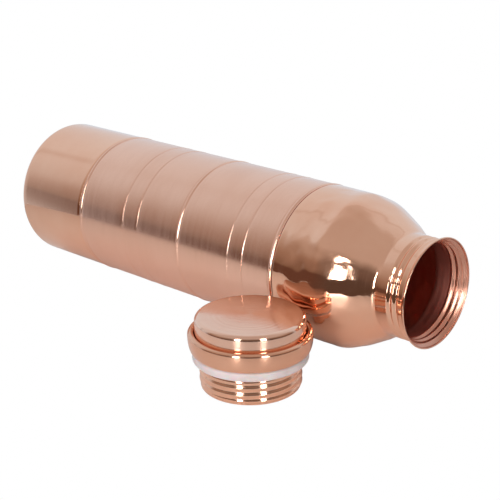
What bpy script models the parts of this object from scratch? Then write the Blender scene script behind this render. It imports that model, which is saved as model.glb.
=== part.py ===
"""Copper water bottle lying on its side, with its screw cap standing beside the shoulder.

The bottle is three sheet-copper pieces brazed end to end: a drawn base cup, a straight tube with
rolled beads, and a spun shoulder whose neck carries a rolled thread. The cap is a crown cup, a band
with a rolled hem, a threaded plug and the solder ring that joins them, with a silicone gasket.

The origin is on the table under the middle of the object. The bottle's axis runs along +X, mouth at
+X, and the cap's axis is vertical, crown up. Every turned piece is modelled about its own Z axis.
"""
import math

import bpy
from mathutils import Vector

MM = 0.001
SEGMENTS = 40
SHEET = 0.7

# Bottle, in millimetres from the base along its axis
BODY_R = 36.0
BEAD_RISE = 0.5
BEAD_HALF = 1.25
BEADS = (51.3, 123.2, 183.3)
HEEL_R = 3.5
FOOT_INNER_R = 28.0
RECESS = 1.2
LAP = 6.0
LAP_GAP = 0.3
SHOULDER_START = 206.7
SHOULDER_POWER = 1.58
NECK_START = 232.4
NECK_R = 23.5
LIP_START = 247.0
LENGTH = 249.3
RIM_R = 25.15

# Thread, one start, right hand
PITCH = 3.2
NECK_THREAD = (238.6, 245.8)
NECK_THREAD_DEPTH = 0.8
NECK_THREAD_PHASE = 1.24
PLUG_THREAD = (1.2, 11.2)
PLUG_THREAD_HEIGHT = 0.5
PLUG_THREAD_PHASE = 2.07

# Cap, in millimetres up from the plug's flat end
PLUG_ROOT_R = 21.85
PLUG_HEEL_R = 1.2
PLUG_FLANGE_R = 23.1
PLUG_TOP = 18.5
GASKET_INNER_R = 22.1
GASKET_OUTER_R = 25.3
GASKET_BOTTOM = 12.5
GASKET_TOP = 16.5
BAND_FOOT = 16.8
BAND_FOOT_R = 25.2
BAND_HOLE_R = 22.15
HEM_R = 1.45
HEM_CENTRE = (25.8, 24.3)
CROWN_R = 24.1
CROWN_FOOT = 18.9
CROWN_EDGE = 32.8
CROWN_CORNER_R = 2.6
CROWN_RISE = 0.3
SOLDER_INNER_R = 21.4
SOLDER_OUTER_R = 23.1
SOLDER_BOTTOM = 18.8
SOLDER_TOP = 20.2

# Lying on the table, on a flat between two facets. Both pieces are centred about the origin
FLAT = math.cos(math.pi / SEGMENTS)
AXIS_HEIGHT = (BODY_R + BEAD_RISE) * FLAT
CAP_ALONG = 197.5
CAP_BESIDE = 63.8
BOTTLE_Y = 0.5 * (CAP_BESIDE + (HEM_CENTRE[0] + HEM_R) * FLAT - AXIS_HEIGHT)


def clear_scene():
    for obj in list(bpy.data.objects):
        bpy.data.objects.remove(obj, do_unlink=True)


def make_collection(name):
    collection = bpy.data.collections.new(name)
    bpy.context.scene.collection.children.link(collection)
    return collection


def make_material(name, colour, roughness, metallic):
    material = bpy.data.materials.new(name)
    material.use_nodes = True
    shader = material.node_tree.nodes["Principled BSDF"]
    shader.inputs["Base Color"].default_value = (*colour, 1.0)
    shader.inputs["Roughness"].default_value = roughness
    shader.inputs["Metallic"].default_value = metallic
    material.diffuse_color = (*colour, 1.0)
    return material


def arc(centre, radius, start, end, steps):
    """Points (r, z) on an arc, angles in degrees from the outward direction."""
    points = []
    for step in range(steps + 1):
        angle = math.radians(start + (end - start) * step / steps)
        points.append((centre[0] + radius * math.cos(angle), centre[1] + radius * math.sin(angle)))
    return points


def rows(top, bottom, steps):
    """Heights evenly spaced from top down to bottom."""
    return [top + (bottom - top) * step / steps for step in range(steps + 1)]


def inset(outer, thickness):
    """The inner side of a sheet whose outer side is given from top to bottom."""
    points = [Vector(point) for point in outer]
    inner = []
    for index, point in enumerate(points):
        before = points[index - 1] if index > 0 else None
        after = points[index + 1] if index + 1 < len(points) else None
        normals = []
        for start, end in ((before, point), (point, after)):
            if start is not None and end is not None:
                step = (end - start).normalized()
                normals.append(Vector((-step.y, step.x)))
        normal = sum(normals, Vector((0.0, 0.0))).normalized()
        reach = thickness / max(normal.dot(normals[0]), 0.5)
        inner.append(tuple(point - normal * reach))
    return inner


def turned(name, profile, closed, collection, parent, material):
    """A profile of (r, z) points turned about Z. It runs down its outer side, top to bottom."""
    mesh = bpy.data.meshes.new(name)
    vertices = [(r * MM, 0.0, z * MM) for r, z in profile]
    edges = [(index, index + 1) for index in range(len(vertices) - 1)]
    if closed:
        edges.append((len(vertices) - 1, 0))
    mesh.from_pydata(vertices, edges, [])
    obj = bpy.data.objects.new(name, mesh)
    collection.objects.link(obj)
    screw = obj.modifiers.new("Turn", "SCREW")
    screw.axis = "Z"
    screw.angle = 2.0 * math.pi
    screw.steps = SEGMENTS
    screw.render_steps = SEGMENTS
    screw.use_merge_vertices = True
    screw.merge_threshold = 0.00001
    screw.use_smooth_shade = True
    mesh.materials.append(material)
    obj.parent = parent
    obj.rotation_euler = (0.0, 0.0, math.pi / SEGMENTS)
    return obj


def roll_thread(obj, span, phase, depth):
    """Pushes a turned sheet in (negative depth) or out along a right-hand helix, both sides alike."""
    graph = bpy.context.evaluated_depsgraph_get()
    mesh = bpy.data.meshes.new_from_object(obj.evaluated_get(graph))
    obj.modifiers.clear()
    obj.data = mesh
    start, end = span
    for vertex in mesh.vertices:
        height = vertex.co.z / MM
        radius = math.hypot(vertex.co.x, vertex.co.y)
        if height <= start or height >= end or radius < 0.5 * PLUG_ROOT_R * MM:
            continue
        fade = min(1.0, (height - start) / (0.4 * PITCH), (end - height) / (0.4 * PITCH))
        turn = 2.0 * math.pi * (height - phase) / PITCH - math.atan2(vertex.co.y, vertex.co.x)
        ridge = 0.5 + 0.5 * math.cos(turn)
        scale = 1.0 + depth * MM * ridge * fade / radius
        vertex.co.x *= scale
        vertex.co.y *= scale


def axis_empty(name, location, rotation, collection):
    empty = bpy.data.objects.new(name, None)
    empty.empty_display_size = 0.02
    empty.location = location
    empty.rotation_euler = rotation
    collection.objects.link(empty)
    return empty


def bead(centre):
    """The outer side of one rolled bead, from top to bottom."""
    points = []
    for height in rows(centre + BEAD_HALF, centre - BEAD_HALF, 4):
        wave = 0.5 + 0.5 * math.cos(math.pi * (height - centre) / BEAD_HALF)
        points.append((BODY_R + BEAD_RISE * wave, height))
    return points


def shoulder_radius(height):
    along = (height - SHOULDER_START) / (NECK_START - SHOULDER_START)
    return NECK_R + (BODY_R - NECK_R) * (1.0 - along ** SHOULDER_POWER)


def build_base_cup(collection, parent, material):
    lap_r = BODY_R - SHEET - LAP_GAP
    seam = BEADS[0] - BEAD_HALF
    outer = [(lap_r, BEADS[0] + LAP), (lap_r, seam - 0.4), (BODY_R, seam - 1.2)]
    outer += arc((BODY_R - HEEL_R, HEEL_R), HEEL_R, 0.0, -90.0, 4)
    outer += [(FOOT_INNER_R, 0.0), (FOOT_INNER_R - RECESS, RECESS)]
    inner = inset(outer + [(0.0, RECESS)], SHEET)
    outer.append((0.0, RECESS))
    inner[0] = (inner[0][0], outer[0][1])
    inner[-1] = (0.0, RECESS + SHEET)
    turned("base_cup", inner[::-1] + outer, False, collection, parent, material)


def build_body_tube(collection, parent, material):
    outer = []
    for centre in reversed(BEADS):
        outer += bead(centre)
    inner_r = BODY_R - SHEET
    inner = [(inner_r, outer[-1][1]), (inner_r, outer[0][1])]
    turned("body_tube", outer + inner, True, collection, parent, material)


def build_shoulder_neck(collection, parent, material):
    lap_r = BODY_R - SHEET - LAP_GAP
    seam = BEADS[2] + BEAD_HALF
    outer = [(RIM_R, LENGTH), (RIM_R - 0.45, LENGTH - 0.75), (NECK_R + 0.5, LIP_START + 0.7)]
    outer += [(NECK_R, height) for height in rows(LIP_START, NECK_THREAD[0] - 0.3, 14)]
    outer.append((NECK_R, NECK_START))
    for step in range(1, 9):
        height = NECK_START + (SHOULDER_START - NECK_START) * step / 8
        outer.append((shoulder_radius(height), height))
    outer += [(BODY_R, seam + 1.2), (lap_r, seam + 0.4), (lap_r, BEADS[2] - LAP)]
    inner = inset(outer, SHEET)
    inner = [(r, z) for (r, _), (_, z) in zip(inner, outer)]
    inner[0] = (RIM_R - SHEET, LENGTH)
    for index, height in enumerate(z for _, z in outer):
        if NECK_START < height <= LIP_START:
            inner[index] = (NECK_R - SHEET, height)
    shoulder = turned("shoulder_neck", outer + inner[::-1], True, collection, parent, material)
    roll_thread(shoulder, NECK_THREAD, NECK_THREAD_PHASE, -NECK_THREAD_DEPTH)


def build_cap_plug(collection, parent, material):
    outer = [(PLUG_FLANGE_R, PLUG_TOP), (PLUG_FLANGE_R, PLUG_TOP - SHEET), (PLUG_ROOT_R, PLUG_TOP - SHEET)]
    threaded = rows(PLUG_THREAD[1], PLUG_THREAD[0], 16)
    outer += [(PLUG_ROOT_R, height) for height in threaded]
    outer += arc((PLUG_ROOT_R - PLUG_HEEL_R, PLUG_HEEL_R), PLUG_HEEL_R, 0.0, -90.0, 3)
    inner = [(PLUG_ROOT_R - SHEET, PLUG_TOP)]
    inner += [(PLUG_ROOT_R - SHEET, height) for height in threaded]
    inner += [(PLUG_ROOT_R - PLUG_HEEL_R, SHEET), (0.0, SHEET)]
    plug = turned("cap_plug", inner[::-1] + outer + [(0.0, 0.0)], False, collection, parent, material)
    roll_thread(plug, PLUG_THREAD, PLUG_THREAD_PHASE, PLUG_THREAD_HEIGHT)


def build_gasket(collection, parent, material):
    corner = 1.1
    inside = GASKET_INNER_R + corner
    outside = GASKET_OUTER_R - corner
    low = GASKET_BOTTOM + corner
    high = GASKET_TOP - corner
    profile = arc((inside, high), corner, 180.0, 90.0, 2)
    profile += arc((outside, high), corner, 90.0, 0.0, 3)
    profile += arc((outside, low), corner, 0.0, -90.0, 3)
    profile += arc((inside, low), corner, -90.0, -180.0, 2)
    turned("gasket", profile, True, collection, parent, material)


def build_cap_band(collection, parent, material):
    outer = arc(HEM_CENTRE, HEM_R, 150.0, 0.0, 6)
    bead_r, bead_z = outer[-1]
    for step in range(1, 6):
        sweep = math.radians(90.0 * step / 5)
        r = BAND_FOOT_R + (bead_r - BAND_FOOT_R) * math.cos(sweep)
        z = bead_z - (bead_z - BAND_FOOT) * math.sin(sweep)
        outer.append((r, z))
    outer.append((BAND_HOLE_R, BAND_FOOT))
    inner = inset(outer, SHEET)
    inner[-1] = (BAND_HOLE_R, BAND_FOOT + SHEET)
    turned("cap_band", outer + inner[::-1], True, collection, parent, material)


def build_cap_crown(collection, parent, material):
    flat_r = CROWN_R - CROWN_CORNER_R
    outer = [(0.0, CROWN_EDGE + CROWN_RISE), (0.55 * flat_r, CROWN_EDGE + 0.7 * CROWN_RISE)]
    outer += arc((flat_r, CROWN_EDGE - CROWN_CORNER_R), CROWN_CORNER_R, 90.0, 0.0, 4)
    outer.append((CROWN_R, CROWN_FOOT))
    inner = inset(outer, SHEET)
    inner[0] = (0.0, outer[0][1] - SHEET)
    inner[-1] = (CROWN_R - SHEET, CROWN_FOOT)
    turned("cap_crown", outer + inner[::-1], False, collection, parent, material)


def build_solder_ring(collection, parent, material):
    middle = 0.5 * (SOLDER_INNER_R + SOLDER_OUTER_R)
    profile = [(middle, SOLDER_TOP - 0.4), (SOLDER_OUTER_R, SOLDER_TOP)]
    profile += [(SOLDER_OUTER_R, SOLDER_BOTTOM), (SOLDER_INNER_R, SOLDER_BOTTOM)]
    turned("cap_solder_ring", profile, True, collection, parent, material)


def main():
    clear_scene()
    collection = make_collection("copper_water_bottle")
    polished = make_material("polished_copper", (0.83, 0.47, 0.33), 0.14, 1.0)
    satin = make_material("satin_copper", (0.80, 0.50, 0.38), 0.34, 1.0)
    cap_copper = make_material("cap_copper", (0.83, 0.47, 0.33), 0.16, 1.0)
    silicone = make_material("gasket_silicone", (0.80, 0.74, 0.76), 0.45, 0.0)
    solder = make_material("soft_solder", (0.62, 0.61, 0.58), 0.4, 1.0)

    bottle_axis = axis_empty(
        "bottle_axis",
        (-0.5 * LENGTH * MM, BOTTLE_Y * MM, AXIS_HEIGHT * MM),
        (0.0, math.radians(90.0), 0.0),
        collection,
    )
    cap_axis = axis_empty(
        "cap_axis",
        ((CAP_ALONG - 0.5 * LENGTH) * MM, (BOTTLE_Y - CAP_BESIDE) * MM, 0.0),
        (0.0, 0.0, 0.0),
        collection,
    )
    bpy.context.view_layer.update()

    build_base_cup(collection, bottle_axis, polished)
    build_body_tube(collection, bottle_axis, satin)
    build_shoulder_neck(collection, bottle_axis, polished)
    build_cap_plug(collection, cap_axis, cap_copper)
    build_gasket(collection, cap_axis, silicone)
    build_cap_band(collection, cap_axis, cap_copper)
    build_cap_crown(collection, cap_axis, cap_copper)
    build_solder_ring(collection, cap_axis, solder)


main()
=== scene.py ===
"""Looks for the copper water bottle: fine turned sheet-metal pieces, their finishes, light and camera."""

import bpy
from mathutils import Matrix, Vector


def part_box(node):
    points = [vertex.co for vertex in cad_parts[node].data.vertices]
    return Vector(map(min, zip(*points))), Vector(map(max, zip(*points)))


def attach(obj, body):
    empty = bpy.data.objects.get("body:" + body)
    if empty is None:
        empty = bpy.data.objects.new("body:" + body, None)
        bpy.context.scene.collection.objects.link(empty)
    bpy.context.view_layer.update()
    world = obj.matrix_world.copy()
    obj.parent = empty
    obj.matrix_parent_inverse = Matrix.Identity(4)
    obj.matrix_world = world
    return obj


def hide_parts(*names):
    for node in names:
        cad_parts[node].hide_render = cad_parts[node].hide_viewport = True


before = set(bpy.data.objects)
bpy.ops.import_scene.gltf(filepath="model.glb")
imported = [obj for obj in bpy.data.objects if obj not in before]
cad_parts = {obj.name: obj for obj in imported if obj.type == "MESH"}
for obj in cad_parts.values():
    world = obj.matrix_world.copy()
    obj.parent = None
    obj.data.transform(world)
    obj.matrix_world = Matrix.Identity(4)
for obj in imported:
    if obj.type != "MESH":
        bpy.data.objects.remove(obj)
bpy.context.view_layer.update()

import math

import bmesh
import bpy
from mathutils import Matrix, Vector, noise

MM = 0.001
SEGMENTS = 128
SHOULDER_SEGMENTS = 256

# Lengths down to the places are in millimetres. Heights run along a turned piece's own axis: the
# bottle's from its foot, the cap's from the end of its plug. Sizes that the CAD also has are the
# same as there, apart from the beads, the neck's thread, the hem's place and the crown's top.
SHEET = 0.7
BODY_R = 36.0
BEADS = (51.3, 123.2, 183.3)
BEAD_RISE = 0.28
BEAD_DIP = 0.09
BEAD_HALF = 0.9
FINE_LINES = (83.6, 94.3, 156.6, 165.8)
FINE_RISE = 0.11
FINE_DIP = 0.04
FINE_HALF = 0.36
SEAM_HALF = 1.25
LAP = 6.0
LAP_GAP = 0.3
LAP_R = BODY_R - SHEET - LAP_GAP

# The base: its wall curls in just under the first bead, and its foot is a flat ring
CURL_DEPTH = 0.25
CURL_LENGTH = 2.2
CURL_POWER = 3.2
CURL_GAP = 0.15
HEEL_R = 3.5
FOOT_INNER_R = 28.0
RECESS = 1.2

# The shoulder, the neck and the flared lip
SHOULDER_EDGE_R = 0.5
SHOULDER_START = 206.7
SHOULDER_POWER = 1.58
NECK_START = 232.4
NECK_R = 23.5
LIP_START = 247.0
LIP_EDGE_R = 0.35
LIP_POWER = 1.5
LENGTH = 249.3
RIM_R = 25.15
PITCH = 3.2
NECK_THREAD = (238.0, 246.9)
NECK_THREAD_DEPTH = 1.05
NECK_THREAD_PHASE = 1.24
NECK_THREAD_TURNS = (74.3, 74.5, 76.4, 76.6)
MOUTH_FROM = 241.4
WAVES = (188.0, 234.5)
WAVE_FADES = (8.0, 3.0)
WAVE_LENGTH = 12.0
WAVE_HEIGHT = 0.5
FINE_WAVE_LENGTH = 5.5
FINE_WAVE_HEIGHT = 0.22

# The cap
PLUG_THREAD = (1.2, 11.2)
PLUG_THREAD_HEIGHT = 0.5
PLUG_THREAD_PHASE = 2.07
PLUG_THREAD_FADE = 0.4 * PITCH
PLUG_ROOT_R = 21.85
PLUG_HEEL_R = 1.2
PLUG_FLANGE_R = 23.1
PLUG_TOP = 18.5
GASKET_INNER_R = 22.1
GASKET_OUTER_R = 25.3
GASKET_BOTTOM = 12.5
GASKET_TOP = 16.5
GASKET_CORNER_R = 1.15
BAND_FOOT = 16.8
BAND_FOOT_R = 25.2
BAND_HOLE_R = 22.15
HEM_R = 1.45
HEM_CENTRE = (25.7, 24.3)
CROWN_R = 24.1
CROWN_FOOT = 18.9
CROWN_EDGE = 32.5
CROWN_CORNER_R = 2.2
CROWN_RISE = 0.55
CROWN_BLEND = (20.5, 22.2)

# Places, from the frame, in metres
BASE_LOW, _ = (Vector(corner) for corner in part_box("base_cup"))
TUBE_LOW, TUBE_HIGH = (Vector(corner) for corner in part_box("body_tube"))
CROWN_LOW, CROWN_HIGH = (Vector(corner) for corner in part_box("cap_crown"))
PLUG_LOW, _ = (Vector(corner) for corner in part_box("cap_plug"))
AXIS_Y = 0.5 * (TUBE_LOW.y + TUBE_HIGH.y)
AXIS_Z = 0.5 * (TUBE_LOW.z + TUBE_HIGH.z)
CAP_X = 0.5 * (CROWN_LOW.x + CROWN_HIGH.x)
CAP_Y = 0.5 * (CROWN_LOW.y + CROWN_HIGH.y)
BOTTLE_AXIS = Matrix.Translation((BASE_LOW.x, AXIS_Y, AXIS_Z)) @ Matrix.Rotation(math.radians(90), 4, "Y")
CAP_AXIS = Matrix.Translation((CAP_X, CAP_Y, PLUG_LOW.z))


# ---------------------------------------------------------------- profiles and turning

def arc(centre, radius, start, end, steps):
    points = []
    for step in range(steps + 1):
        angle = math.radians(start + (end - start) * step / steps)
        points.append((centre[0] + radius * math.cos(angle), centre[1] + radius * math.sin(angle)))
    return points


def rows(top, bottom, steps):
    return [top + (bottom - top) * step / steps for step in range(steps + 1)]


def smooth(share):
    return share * share * (3.0 - 2.0 * share)


def crest(turn):
    """1 at each whole turn of a thread, and 0 halfway between."""
    return 0.5 + 0.5 * math.cos(2.0 * math.pi * turn)


def inset(outer, thickness):
    """The inner side of a sheet whose outer side is given from top to bottom."""
    points = [Vector(point) for point in outer]
    inner = []
    for index, point in enumerate(points):
        before = points[index - 1] if index > 0 else None
        after = points[index + 1] if index + 1 < len(points) else None
        normals = []
        for start, end in ((before, point), (point, after)):
            if start is not None and end is not None:
                step = (end - start).normalized()
                normals.append(Vector((-step.y, step.x)))
        normal = sum(normals, Vector((0.0, 0.0))).normalized()
        reach = thickness / max(normal.dot(normals[0]), 0.5)
        inner.append(tuple(point - normal * reach))
    return inner


def turn_mesh(name, profile, closed, place, materials, inside=(0, 0), radial=None, segments=SEGMENTS):
    """Turns (r, z) points about the local Z axis. Rows in the span inside take the second material.
    radial(r, z, angle) gives a changed radius, as for a thread."""
    mesh = bpy.data.meshes.new(name)
    bm = bmesh.new()
    rings = []
    for r, z in profile:
        if r < 1e-6:
            rings.append([bm.verts.new((0.0, 0.0, z * MM))])
            continue
        ring = []
        for step in range(segments):
            angle = 2.0 * math.pi * step / segments
            radius = radial(r, z, angle) if radial else r
            ring.append(bm.verts.new((radius * MM * math.cos(angle), radius * MM * math.sin(angle), z * MM)))
        rings.append(ring)
    pairs = [(index, index + 1) for index in range(len(rings) - 1)]
    if closed:
        pairs.append((len(rings) - 1, 0))
    for first, second in pairs:
        a, b = rings[first], rings[second]
        slot = 1 if inside[0] <= first < inside[1] else 0
        for step in range(segments):
            after = (step + 1) % segments
            if len(a) == 1:
                corners = (a[0], b[step], b[after])
            elif len(b) == 1:
                corners = (a[step], b[0], a[after])
            else:
                corners = (a[step], b[step], b[after], a[after])
            face = bm.faces.new(corners)
            face.smooth = True
            face.material_index = slot
    bm.normal_update()
    bm.to_mesh(mesh)
    bm.free()
    for material in materials:
        mesh.materials.append(material)
    obj = bpy.data.objects.new(name, mesh)
    bpy.context.scene.collection.objects.link(obj)
    obj.matrix_world = place
    return obj


def sheet_piece(name, outer, inner, closed, place, skin, radial=None, segments=SEGMENTS):
    """A sheet from its outer and inner sides, both from top to bottom. Its inner side stays unpolished.
    It is closed where both sides end in an edge, and open where both end on the axis."""
    if closed:
        profile = outer + inner[::-1]
        inside = (len(outer), len(profile) - 1)
    else:
        profile = inner[::-1] + outer
        inside = (0, len(inner) - 1)
    return turn_mesh(name, profile, closed, place, [skin, COPPER_INSIDE], inside, radial, segments)


def sharpen(obj, degrees):
    obj.data.set_sharp_from_angle(angle=math.radians(degrees))


# ---------------------------------------------------------------- materials

# The part of a noise texture's values that colours and roughness are spread over
NOISE_LOW = 0.3
NOISE_HIGH = 0.7


def colour_ramp(tree, source, stops):
    ramp = tree.nodes.new("ShaderNodeValToRGB")
    elements = ramp.color_ramp.elements
    while len(elements) < len(stops):
        elements.new(0.5)
    for element, (position, colour) in zip(elements, stops):
        element.position = position
        element.color = (*colour, 1.0)
    tree.links.new(source, ramp.inputs["Fac"])
    return ramp.outputs["Color"]


class Nodes:
    """A short way to build a material's node tree."""

    def __init__(self, name):
        self.material = bpy.data.materials.new(name)
        self.material.use_nodes = True
        self.tree = self.material.node_tree
        self.shader = self.tree.nodes["Principled BSDF"]
        self.coords = self.tree.nodes.new("ShaderNodeTexCoord").outputs["Object"]

    def link(self, source, target):
        self.tree.links.new(source, target)

    def mapped(self, scale):
        node = self.tree.nodes.new("ShaderNodeMapping")
        node.inputs["Scale"].default_value = scale
        self.link(self.coords, node.inputs["Vector"])
        return node.outputs["Vector"]

    def noise(self, vector, scale, detail=3.0, rough=0.5, distortion=0.0):
        node = self.tree.nodes.new("ShaderNodeTexNoise")
        node.inputs["Scale"].default_value = scale
        node.inputs["Detail"].default_value = detail
        node.inputs["Roughness"].default_value = rough
        node.inputs["Distortion"].default_value = distortion
        self.link(vector, node.inputs["Vector"])
        return node.outputs["Fac"]

    def rings(self, across, along, detail, rough=0.5):
        """Noise that changes faster along the axis than across it, like turning lines."""
        return self.noise(self.mapped((across, across, along)), 1.0, detail, rough)

    def noise_1d(self, value, scale, detail):
        node = self.tree.nodes.new("ShaderNodeTexNoise")
        node.noise_dimensions = "1D"
        node.inputs["Scale"].default_value = scale
        node.inputs["Detail"].default_value = detail
        self.link(value, node.inputs["W"])
        return node.outputs["Fac"]

    def axis_distance(self):
        node = self.tree.nodes.new("ShaderNodeVectorMath")
        node.operation = "LENGTH"
        self.link(self.mapped((1.0, 1.0, 0.0)), node.inputs[0])
        return node.outputs["Value"]

    def spread(self, value, to_low, to_high, low=NOISE_LOW, high=NOISE_HIGH):
        node = self.tree.nodes.new("ShaderNodeMapRange")
        ends = (("From Min", low), ("From Max", high), ("To Min", to_low), ("To Max", to_high))
        for socket, number in ends:
            node.inputs[socket].default_value = number
        self.link(value, node.inputs["Value"])
        return node.outputs["Result"]

    def mottle(self, value, first, second):
        return colour_ramp(self.tree, value, [(NOISE_LOW, first), (NOISE_HIGH, second)])

    def product(self, first, second):
        node = self.tree.nodes.new("ShaderNodeMath")
        node.operation = "MULTIPLY"
        self.link(first, node.inputs[0])
        self.link(second, node.inputs[1])
        return node.outputs["Value"]

    def brushed_around(self, amount):
        """Spreads the gloss along the axis, as scratches that run around it do."""
        node = self.tree.nodes.new("ShaderNodeTangent")
        node.direction_type = "RADIAL"
        node.axis = "Z"
        self.link(node.outputs["Tangent"], self.shader.inputs["Tangent"])
        self.shader.inputs["Anisotropic"].default_value = amount
        self.shader.inputs["Anisotropic Rotation"].default_value = 0.25

    def bump(self, height, strength, distance, normal=None):
        node = self.tree.nodes.new("ShaderNodeBump")
        node.inputs["Strength"].default_value = strength
        node.inputs["Distance"].default_value = distance
        self.link(height, node.inputs["Height"])
        if normal is not None:
            self.link(normal, node.inputs["Normal"])
        return node.outputs["Normal"]

    def finish(self, colour, roughness, normal, metallic=1.0):
        for socket, source in (("Base Color", colour), ("Roughness", roughness), ("Normal", normal)):
            self.link(source, self.shader.inputs[socket])
        self.shader.inputs["Metallic"].default_value = metallic
        return self.material


def polished_copper(name, deep, bright, rough, wave, around):
    """Sheet copper buffed while it turned: slow waves, fine turning lines, faint tarnish."""
    nodes = Nodes(name)
    colour = nodes.mottle(nodes.noise(nodes.coords, 26.0, 4.0, 0.6), deep, bright)
    lines = nodes.rings(14.0, 2600.0, 2.0)
    waves = nodes.noise(nodes.coords, 150.0, 2.5, 0.45, 0.5)
    normal = nodes.bump(lines, 0.02, 0.0002, nodes.bump(waves, wave, 0.0004))
    nodes.brushed_around(around)
    return nodes.finish(colour, nodes.spread(lines, rough * 0.75, rough * 1.35), normal)


def satin_copper(name):
    """Copper brushed around the axis."""
    nodes = Nodes(name)
    colour = nodes.mottle(nodes.rings(16.0, 30.0, 4.0, 0.6), (0.88, 0.53, 0.39), (0.94, 0.60, 0.46))
    lines = nodes.rings(12.0, 2600.0, 3.0)
    broad = nodes.rings(9.0, 520.0, 3.0, 0.6)
    normal = nodes.bump(lines, 0.035, 0.0002, nodes.bump(broad, 0.035, 0.0006))
    nodes.brushed_around(0.5)
    return nodes.finish(colour, nodes.spread(broad, 0.19, 0.26), normal)


def turned_copper(name):
    """The crown: turning marks around its axis, and a flat top slightly rougher than its wall."""
    nodes = Nodes(name)
    colour = nodes.mottle(nodes.noise(nodes.coords, 40.0, 4.0, 0.6), (0.90, 0.56, 0.42), (0.95, 0.64, 0.50))
    reach = nodes.axis_distance()
    marks = nodes.noise_1d(reach, 900.0, 3.0)
    blend_start, blend_end = (distance * MM for distance in CROWN_BLEND)
    rough = nodes.spread(reach, 0.16, 0.12, blend_start, blend_end)
    waves = nodes.noise(nodes.coords, 90.0, 2.0, 0.5)
    normal = nodes.bump(waves, 0.04, 0.001, nodes.bump(marks, 0.07, 0.0004))
    nodes.brushed_around(0.85)
    return nodes.finish(colour, nodes.product(rough, nodes.spread(marks, 0.8, 1.15)), normal)


def inner_copper(name):
    """The unpolished inside, darker and redder."""
    nodes = Nodes(name)
    patches = nodes.noise(nodes.coords, 30.0, 5.0, 0.65)
    colour = nodes.mottle(patches, (0.78, 0.27, 0.20), (0.88, 0.37, 0.29))
    lines = nodes.rings(20.0, 1500.0, 3.0)
    return nodes.finish(colour, nodes.spread(lines, 0.42, 0.56), nodes.bump(lines, 0.1, 0.0003))


def silicone(name):
    """Pale, slightly cloudy silicone."""
    nodes = Nodes(name)
    cloud = nodes.noise(nodes.coords, 120.0, 3.0, 0.5)
    colour = nodes.mottle(cloud, (0.52, 0.46, 0.46), (0.64, 0.58, 0.58))
    nodes.shader.inputs["Subsurface Weight"].default_value = 0.4
    nodes.shader.inputs["Subsurface Scale"].default_value = 0.003
    nodes.shader.inputs["IOR"].default_value = 1.41
    fine = nodes.noise(nodes.coords, 2600.0, 2.0)
    return nodes.finish(colour, nodes.spread(cloud, 0.32, 0.48), nodes.bump(fine, 0.08, 0.0002), 0.0)


def solder(name):
    """Dull grey metal with a lumpy skin."""
    nodes = Nodes(name)
    lumps = nodes.noise(nodes.coords, 700.0, 3.0)
    colour = nodes.mottle(lumps, (0.4, 0.39, 0.37), (0.6, 0.59, 0.56))
    return nodes.finish(colour, nodes.spread(lumps, 0.35, 0.55), nodes.bump(lumps, 0.4, 0.0004))


DEEP = (0.90, 0.51, 0.35)
BRIGHT = (0.94, 0.58, 0.415)
# The mouth's inner side: the copper made darker, painted shade inside the opening
SHADED_MOUTH_DEEP = (0.66, 0.31, 0.22)
SHADED_MOUTH_BRIGHT = (0.78, 0.42, 0.31)
# The cap's band: the cap's copper made darker, painted shade near the gasket
SHADED_BAND_DEEP = (0.78, 0.42, 0.28)
SHADED_BAND_BRIGHT = (0.90, 0.52, 0.36)
COPPER_BASE = polished_copper("copper_polished_base", DEEP, BRIGHT, rough=0.09, wave=0.03, around=0.5)
COPPER_SHOULDER = polished_copper("copper_polished_shoulder", DEEP, BRIGHT, rough=0.08, wave=0.18, around=0.6)
COPPER_MOUTH_SHADED = polished_copper("copper_mouth_painted_shade", SHADED_MOUTH_DEEP, SHADED_MOUTH_BRIGHT, rough=0.27, wave=0.05, around=0.3)
COPPER_CAP = polished_copper("copper_polished_cap", DEEP, BRIGHT, rough=0.14, wave=0.04, around=0.8)
COPPER_BAND_SHADED = polished_copper("copper_band_painted_shade", SHADED_BAND_DEEP, SHADED_BAND_BRIGHT, rough=0.14, wave=0.04, around=0.8)
COPPER_SATIN = satin_copper("copper_satin")
COPPER_CROWN = turned_copper("copper_turned_crown")
COPPER_INSIDE = inner_copper("copper_inside")
SILICONE = silicone("silicone_gasket")
SOLDER = solder("solder_grey")


# ---------------------------------------------------------------- bottle

def finish_piece(obj, body, slot, *nodes):
    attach(obj, body)
    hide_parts(*nodes)


def make_base():
    seam = BEADS[0] - SEAM_HALF
    # The lap inside the tube, the curled edge and the wall
    outer = [(LAP_R, BEADS[0] + LAP), (LAP_R, seam - 0.1)]
    for share in rows(1.0, 0.0, 12):
        height = seam - CURL_LENGTH * (1.0 - share) - CURL_GAP
        outer.append((BODY_R - CURL_DEPTH * share ** CURL_POWER, height))
    outer += [(BODY_R, height) for height in rows(seam - 6.0, HEEL_R + 2.0, 10)]
    # The heel, the flat ring and the eased step up to the recess
    outer += arc((BODY_R - HEEL_R, HEEL_R), HEEL_R, 0.0, -90.0, 12)
    outer += [(FOOT_INNER_R + 0.3, 0.0), (FOOT_INNER_R - 0.3, 0.12)]
    outer += [(FOOT_INNER_R - RECESS + 0.2, RECESS - 0.12), (FOOT_INNER_R - RECESS - 0.4, RECESS)]
    outer += [(20.0, RECESS), (10.0, RECESS), (0.0, RECESS)]
    inner = inset(outer, SHEET)
    inner[0] = (inner[0][0], outer[0][1])
    inner[-1] = (0.0, RECESS + SHEET)
    piece = sheet_piece("base_cup_sheet", outer, inner, False, BOTTLE_AXIS, COPPER_BASE)
    sharpen(piece, 50)
    finish_piece(piece, "bottle", "polished_copper", "base_cup")


def ridge(centre, half, rise, dip, steps):
    """A rolled bead between two shallow dips, from top to bottom."""
    points = []
    for height in rows(centre + 2.0 * half, centre - 2.0 * half, steps):
        across = abs(height - centre) / half
        wave = 0.5 + 0.5 * math.cos(math.pi * across)
        if across < 1.0:
            points.append((BODY_R - dip + (rise + dip) * wave, height))
        else:
            points.append((BODY_R - dip * (1.0 - wave), height))
    return points


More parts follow.
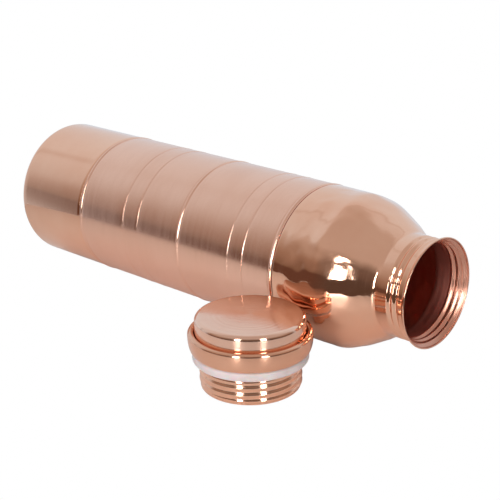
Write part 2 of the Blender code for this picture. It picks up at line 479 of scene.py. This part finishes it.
def make_tube():
    features = [(centre, BEAD_HALF, BEAD_RISE, BEAD_DIP, 32) for centre in BEADS]
    features += [(centre, FINE_HALF, FINE_RISE, FINE_DIP, 20) for centre in FINE_LINES]
    features.sort(reverse=True)
    outer = []
    for index, (centre, half, rise, dip, steps) in enumerate(features):
        outer += ridge(centre, half, rise, dip, steps)
        if index + 1 < len(features):
            next_centre, next_half = features[index + 1][:2]
            plain = rows(centre - 2.0 * half, next_centre + 2.0 * next_half, 6)
            outer += [(BODY_R, height) for height in plain[1:-1]]
    # The dips beyond the end beads are cut off at the seams
    low = BEADS[0] - SEAM_HALF
    high = BEADS[2] + SEAM_HALF
    outer = [(r, min(max(z, low), high)) for r, z in outer if low - 0.2 < z < high + 0.2]
    inner = [(BODY_R - SHEET, height) for height in rows(outer[0][1], outer[-1][1], 12)]
    piece = sheet_piece("body_tube_sheet", outer, inner, True, BOTTLE_AXIS, COPPER_SATIN)
    sharpen(piece, 50)
    finish_piece(piece, "bottle", "satin_copper", "body_tube")


def shoulder_radius(height):
    along = (height - SHOULDER_START) / (NECK_START - SHOULDER_START)
    return NECK_R + (BODY_R - NECK_R) * (1.0 - along ** SHOULDER_POWER)


def neck_form(r, z, angle):
    """The rolled thread of the neck, and the slow hammered waves of the shoulder below it."""
    if NECK_THREAD[0] < z < NECK_THREAD[1]:
        turned = angle / (2.0 * math.pi)
        turn = (z - NECK_THREAD_PHASE) / PITCH - turned
        along = round(turn) + turned
        first, full, fading, last = NECK_THREAD_TURNS
        fade = smooth(max(0.0, min(1.0, (along - first) / (full - first), (last - along) / (last - fading))))
        return r - NECK_THREAD_DEPTH * fade * crest(turn)
    if WAVES[0] < z < WAVES[1]:
        ends = min(1.0, (z - WAVES[0]) / WAVE_FADES[0], (WAVES[1] - z) / WAVE_FADES[1])
        place = Vector((r * math.cos(angle), r * math.sin(angle), z))
        slow = WAVE_HEIGHT * noise.noise(place / WAVE_LENGTH)
        fine = FINE_WAVE_HEIGHT * noise.noise(place / FINE_WAVE_LENGTH)
        return r + ends * (slow + fine)
    return r


def make_shoulder():
    seam = BEADS[2] + SEAM_HALF
    # The lip's edge and its flare
    edge = RIM_R - LIP_EDGE_R
    outer = arc((edge, LENGTH - LIP_EDGE_R), LIP_EDGE_R, 90.0, -20.0, 6)
    for share, height in zip(rows(0.0, 1.0, 9), rows(LENGTH - 0.55, LIP_START, 9)):
        if 0.0 < share < 1.0:
            outer.append((NECK_R + (RIM_R - 0.05 - NECK_R) * (1.0 - share) ** LIP_POWER, height))
    # The neck, the shoulder and the straight wall below it
    outer += [(NECK_R, height) for height in rows(LIP_START, NECK_THREAD[0] - 0.4, 72)]
    outer += [(NECK_R, height) for height in rows(NECK_THREAD[0] - 1.2, NECK_START + 0.8, 6)]
    outer += [(NECK_R + 0.05, NECK_START + 0.45)]
    outer += [(shoulder_radius(height), height) for height in rows(NECK_START, SHOULDER_START, 48)[1:]]
    outer += [(BODY_R, height) for height in rows(SHOULDER_START - 0.8, seam + 1.2, 24)]
    # The edge over the third bead, and the lap inside the tube
    outer += arc((BODY_R - SHOULDER_EDGE_R, seam + 0.62), SHOULDER_EDGE_R, 0.0, -80.0, 5)
    outer += [(LAP_R + 0.35, seam + 0.12), (LAP_R, seam + 0.05), (LAP_R, BEADS[2] - LAP)]
    inner = [(r, z) for (r, _), (_, z) in zip(inset(outer, SHEET), outer)]
    inner[0] = (edge - 0.02, LENGTH - 0.01)
    for index in range(1, 7):
        inner[index] = (RIM_R - SHEET + 0.1 - 0.04 * index, LENGTH - 0.14 * index)
    piece = sheet_piece(
        "shoulder_neck_sheet",
        outer,
        inner,
        True,
        BOTTLE_AXIS,
        COPPER_SHOULDER,
        neck_form,
        SHOULDER_SEGMENTS,
    )
    # The inner side of the mouth has a smoother finish of its own, and its darker copper is painted shade
    # inside the opening
    piece.data.materials.append(COPPER_MOUTH_SHADED)
    for face in piece.data.polygons:
        if face.material_index == 1 and face.center.z > MOUTH_FROM * MM:
            face.material_index = 2
    sharpen(piece, 60)
    finish_piece(piece, "bottle", "polished_copper", "shoulder_neck")


# ---------------------------------------------------------------- cap

def plug_thread(r, z, angle):
    start, end = PLUG_THREAD
    if z <= start or z >= end:
        return r
    fade = smooth(min(1.0, (z - start) / PLUG_THREAD_FADE, (end - z) / PLUG_THREAD_FADE))
    turn = (z - PLUG_THREAD_PHASE) / PITCH - angle / (2.0 * math.pi)
    return r + PLUG_THREAD_HEIGHT * fade * crest(turn)


def make_plug():
    wall_r = PLUG_ROOT_R - SHEET
    thread_top = PLUG_THREAD[1] + 0.9
    threaded = rows(PLUG_THREAD[1], PLUG_THREAD[0] - 0.2, 72)
    outer = [(PLUG_FLANGE_R, PLUG_TOP), (PLUG_FLANGE_R, PLUG_TOP - SHEET)]
    outer += [(PLUG_ROOT_R, PLUG_TOP - SHEET), (PLUG_ROOT_R, thread_top)]
    outer += [(PLUG_ROOT_R, height) for height in threaded]
    outer += arc((PLUG_ROOT_R - PLUG_HEEL_R, PLUG_HEEL_R), PLUG_HEEL_R, 0.0, -90.0, 8)
    outer += [(14.0, 0.0), (7.0, 0.0), (0.0, 0.0)]
    inner = [(wall_r, PLUG_TOP), (wall_r, thread_top)]
    inner += [(wall_r, height) for height in threaded]
    inner += [(PLUG_ROOT_R - PLUG_HEEL_R, SHEET), (10.0, SHEET), (0.0, SHEET)]
    piece = sheet_piece("cap_plug_sheet", outer, inner, False, CAP_AXIS, COPPER_CAP, plug_thread)
    sharpen(piece, 60)
    finish_piece(piece, "cap", "cap_copper", "cap_plug")


def make_gasket():
    inside = GASKET_INNER_R + GASKET_CORNER_R
    outside = GASKET_OUTER_R - GASKET_CORNER_R
    low = GASKET_BOTTOM + GASKET_CORNER_R
    high = GASKET_TOP - GASKET_CORNER_R
    profile = arc((inside, high), GASKET_CORNER_R, 180.0, 90.0, 6)
    profile += arc((outside, high), GASKET_CORNER_R, 90.0, 0.0, 8)
    profile += arc((outside, low), GASKET_CORNER_R, 0.0, -90.0, 8)
    profile += arc((inside, low), GASKET_CORNER_R, -90.0, -180.0, 6)
    piece = turn_mesh("gasket_ring", profile, True, CAP_AXIS, [SILICONE])
    finish_piece(piece, "seal", "gasket_silicone", "gasket")


def make_band():
    # The rolled hem, then a wall that tapers in a quarter of an ellipse
    outer = arc(HEM_CENTRE, HEM_R, 165.0, 0.0, 18)
    hem_r, hem_z = outer[-1]
    for degrees in rows(0.0, 90.0, 18)[1:]:
        sweep = math.radians(degrees)
        r = BAND_FOOT_R + (hem_r - BAND_FOOT_R) * math.cos(sweep)
        outer.append((r, hem_z - (hem_z - BAND_FOOT) * math.sin(sweep)))
    outer += [(BAND_FOOT_R - 0.6, BAND_FOOT), (BAND_HOLE_R, BAND_FOOT)]
    inner = inset(outer, SHEET)
    inner[-1] = (BAND_HOLE_R, BAND_FOOT + SHEET)
    # The band takes the darker copper, painted shade near the gasket
    piece = sheet_piece("cap_band_sheet", outer, inner, True, CAP_AXIS, COPPER_BAND_SHADED)
    sharpen(piece, 60)
    finish_piece(piece, "cap", "cap_copper", "cap_band")


def make_crown():
    flat_r = CROWN_R - CROWN_CORNER_R
    shoulder = CROWN_EDGE - CROWN_CORNER_R
    shares = rows(0.0, 1.0, 24)
    outer = [(flat_r * share, CROWN_EDGE + CROWN_RISE * (1.0 - share * share)) for share in shares]
    outer += arc((flat_r, shoulder), CROWN_CORNER_R, 90.0, 0.0, 12)[1:]
    outer += [(CROWN_R, height) for height in rows(shoulder - 1.0, CROWN_FOOT, 8)]
    inner = inset(outer, SHEET)
    inner[0] = (0.0, outer[0][1] - SHEET)
    inner[-1] = (CROWN_R - SHEET, CROWN_FOOT)
    inside = (len(outer), len(outer) + len(inner) - 1)
    materials = [COPPER_CROWN, COPPER_INSIDE]
    piece = turn_mesh("cap_crown_sheet", outer + inner[::-1], False, CAP_AXIS, materials, inside)
    sharpen(piece, 60)
    finish_piece(piece, "cap", "cap_copper", "cap_crown")


def colour_solder_ring():
    """The CAD solid's own shape is kept."""
    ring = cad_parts["cap_solder_ring"]
    ring.data.materials.clear()
    ring.data.materials.append(SOLDER)


make_base()
make_tube()
make_shoulder()
make_plug()
make_gasket()
make_band()
make_crown()
colour_solder_ring()


# ---------------------------------------------------------------- studio

scene = bpy.context.scene
scene.view_settings.view_transform = "Standard"
scene.view_settings.look = "None"

# The camera looks at MIDDLE. Its angles are in degrees, its distance in metres.
MIDDLE_ALONG = 0.13237
MIDDLE_ASIDE = 0.00592
MIDDLE_HEIGHT = 0.0273
MIDDLE = Vector((BASE_LOW.x + MIDDLE_ALONG, AXIS_Y + MIDDLE_ASIDE, MIDDLE_HEIGHT))
CAMERA_AZIMUTH = 43.24
CAMERA_ELEVATION = 19.83
CAMERA_ROLL = -0.78
CAMERA_DISTANCE = 0.6002
CAMERA_LENS = 85.83
CAMERA_SENSOR = 36.0

BACKDROP_RADIUS = 12.0
BACKDROP_HEIGHT = -0.0006
TABLE_RADIUS = 0.215
TABLE_HEIGHT = -0.0003
TABLE_ROUGHNESS = 0.3
SOFTBOX_TURN = 24.0
SOFTBOX_DISTANCE = 1.5
SOFTBOX_WIDTH = 0.24

# The table's colour by the distance from its middle, in metres: lighter near the middle, a painted pool of
# light
TABLE_LIGHT_POOL_COLOURS = [
    (0.05, (0.80, 0.78, 0.78)),
    (0.11, (0.75, 0.73, 0.72)),
    (0.17, (0.66, 0.64, 0.63)),
    (TABLE_RADIUS, (0.58, 0.55, 0.54)),
]

# The room's colours by height, from the horizon (0) to straight up (1): on the camera's side,
# to the camera's left and right, and behind the object
NEAR_ROOM = [
    (0.0, (0.10, 0.07, 0.055)),
    (0.17, (0.14, 0.10, 0.08)),
    (0.34, (0.17, 0.13, 0.11)),
    (0.50, (0.34, 0.29, 0.26)),
    (0.68, (0.52, 0.46, 0.43)),
    (1.0, (0.53, 0.47, 0.44)),
]
SIDE_ROOM = [
    (0.0, (0.13, 0.07, 0.05)),
    (0.05, (0.22, 0.15, 0.11)),
    (0.12, (0.27, 0.19, 0.15)),
    (0.26, (0.34, 0.25, 0.20)),
    (0.50, (0.48, 0.41, 0.37)),
    (0.64, (0.55, 0.49, 0.46)),
    (1.0, (0.53, 0.47, 0.44)),
]
BACK_ROOM = [
    (0.0, (0.72, 0.82, 0.92)),
    (0.64, (0.73, 0.79, 0.85)),
    (0.87, (0.70, 0.70, 0.72)),
    (1.0, (0.55, 0.50, 0.47)),
]
# The shares of SIDE_ROOM over NEAR_ROOM and of BACK_ROOM over both, from the camera's side (0)
# to the far side (1)
SIDE_SHARES = [(0.08, 0.0), (0.30, 1.0)]
BACK_SHARES = [
    (0.47, 0.0),
    (0.535, 0.28),
    (0.56, 0.65),
    (0.67, 0.87),
    (0.70, 0.45),
    (0.73, 0.95),
    (0.80, 1.0),
]


def direction(azimuth, elevation):
    a, e = math.radians(azimuth), math.radians(elevation)
    return Vector((math.sin(a) * math.cos(e), -math.cos(a) * math.cos(e), math.sin(e)))


def stage_disc(name, radius, height, dome):
    """A round floor, with a dome over it if asked for."""
    mesh = bpy.data.meshes.new(name)
    bm = bmesh.new()
    bmesh.ops.create_circle(bm, cap_ends=True, segments=96, radius=radius)
    if dome:
        bmesh.ops.create_uvsphere(bm, u_segments=96, v_segments=48, radius=radius)
        low = [vertex for vertex in bm.verts if vertex.co.z < -1e-4]
        bmesh.ops.delete(bm, geom=low, context="VERTS")
    bm.to_mesh(mesh)
    bm.free()
    obj = bpy.data.objects.new(name, mesh)
    scene.collection.objects.link(obj)
    obj.location.z = height
    return obj


def stage_material(obj, name):
    material = bpy.data.materials.new(name)
    material.use_nodes = True
    obj.data.materials.append(material)
    return material.node_tree


def make_backdrop():
    """White floor and backdrop, which only the camera sees."""
    backdrop = stage_disc("studio_backdrop", BACKDROP_RADIUS, BACKDROP_HEIGHT, True)
    tree = stage_material(backdrop, "studio_white")
    shader = tree.nodes["Principled BSDF"]
    shader.inputs["Base Color"].default_value = (0.0, 0.0, 0.0, 1.0)
    shader.inputs["Specular IOR Level"].default_value = 0.0
    shader.inputs["Emission Color"].default_value = (1.0, 1.0, 1.0, 1.0)
    shader.inputs["Emission Strength"].default_value = 1.0
    backdrop.visible_glossy = False
    backdrop.visible_diffuse = False
    backdrop.visible_shadow = False


def make_table():
    """The pale, slightly glossy table top that the copper mirrors, and the camera doesn't see. Its colour,
    lighter near the middle, is a painted pool of light.
    """
    table = stage_disc("studio_table", TABLE_RADIUS, TABLE_HEIGHT, False)
    tree = stage_material(table, "studio_table_gloss")
    shader = tree.nodes["Principled BSDF"]
    shader.inputs["Roughness"].default_value = TABLE_ROUGHNESS
    coords = tree.nodes.new("ShaderNodeTexCoord")
    reach = tree.nodes.new("ShaderNodeVectorMath")
    reach.operation = "LENGTH"
    tree.links.new(coords.outputs["Object"], reach.inputs[0])
    tree.links.new(colour_ramp(tree, reach.outputs["Value"], TABLE_LIGHT_POOL_COLOURS), shader.inputs["Base Color"])
    table.visible_camera = False


def share_ramp(tree, source, shares):
    return colour_ramp(tree, source, [(position, (share, share, share)) for position, share in shares])


def mix_colours(tree, share, first, second):
    node = tree.nodes.new("ShaderNodeMix")
    node.data_type = "RGBA"
    first_colour, second_colour = node.inputs[6], node.inputs[7]
    tree.links.new(share, node.inputs["Factor"])
    tree.links.new(first, first_colour)
    tree.links.new(second, second_colour)
    return node.outputs[2]


def make_world():
    """A room that is white behind the object and warm and dim on the camera's side."""
    world = bpy.data.worlds.new("studio_room")
    scene.world = world
    world.use_nodes = True
    tree = world.node_tree
    towards = tree.nodes.new("ShaderNodeTexCoord").outputs["Generated"]
    split = tree.nodes.new("ShaderNodeSeparateXYZ")
    tree.links.new(towards, split.inputs["Vector"])
    rooms = (NEAR_ROOM, SIDE_ROOM, BACK_ROOM)
    near, side, back = (colour_ramp(tree, split.outputs["Z"], colours) for colours in rooms)
    away = tree.nodes.new("ShaderNodeVectorMath")
    away.operation = "DOT_PRODUCT"
    away.inputs[1].default_value = -0.5 * direction(CAMERA_AZIMUTH, 0.0)
    tree.links.new(towards, away.inputs[0])
    depth = tree.nodes.new("ShaderNodeMath")
    depth.inputs[1].default_value = 0.5
    tree.links.new(away.outputs["Value"], depth.inputs[0])
    room = mix_colours(tree, share_ramp(tree, depth.outputs["Value"], SIDE_SHARES), near, side)
    room = mix_colours(tree, share_ramp(tree, depth.outputs["Value"], BACK_SHARES), room, back)
    tree.links.new(room, tree.nodes["Background"].inputs["Color"])
    tree.nodes["Background"].inputs["Strength"].default_value = 1.0


def softbox(name, turn, elevation, distance, width, height, power, mirrored=True):
    """An area light that faces MIDDLE, turned from the camera's azimuth."""
    data = bpy.data.lights.new(name, "AREA")
    data.shape = "RECTANGLE"
    data.size = width
    data.size_y = height
    data.energy = power
    obj = bpy.data.objects.new(name, data)
    scene.collection.objects.link(obj)
    towards = direction(CAMERA_AZIMUTH + turn, elevation)
    obj.location = MIDDLE + towards * distance
    obj.rotation_mode = "QUATERNION"
    obj.rotation_quaternion = towards.to_track_quat("Z", "Y")
    obj.visible_camera = False
    obj.visible_glossy = mirrored


def make_lights():
    """Two softboxes in two parts each, which the copper mirrors, and a fill that it doesn't."""
    for side, turn in (("left", -SOFTBOX_TURN), ("right", SOFTBOX_TURN)):
        softbox("softbox_low_" + side, turn, 10.0, SOFTBOX_DISTANCE, SOFTBOX_WIDTH, 0.5, power=6.8)
        softbox("softbox_high_" + side, turn, 27.5, SOFTBOX_DISTANCE, SOFTBOX_WIDTH, 0.2, power=1.2)
    softbox("fill", -35.0, 30.0, 1.4, 0.8, 0.5, power=6.0, mirrored=False)


def make_camera():
    data = bpy.data.cameras.new("camera")
    data.lens = CAMERA_LENS
    data.sensor_width = CAMERA_SENSOR
    camera = bpy.data.objects.new("camera", data)
    scene.collection.objects.link(camera)
    back = direction(CAMERA_AZIMUTH, CAMERA_ELEVATION)
    camera.location = MIDDLE + back * CAMERA_DISTANCE
    camera.rotation_mode = "QUATERNION"
    aim = back.to_track_quat("Z", "Y")
    camera.rotation_quaternion = aim @ Matrix.Rotation(math.radians(CAMERA_ROLL), 3, "Z").to_quaternion()
    scene.camera = camera


make_backdrop()
make_table()
make_world()
make_lights()
make_camera()
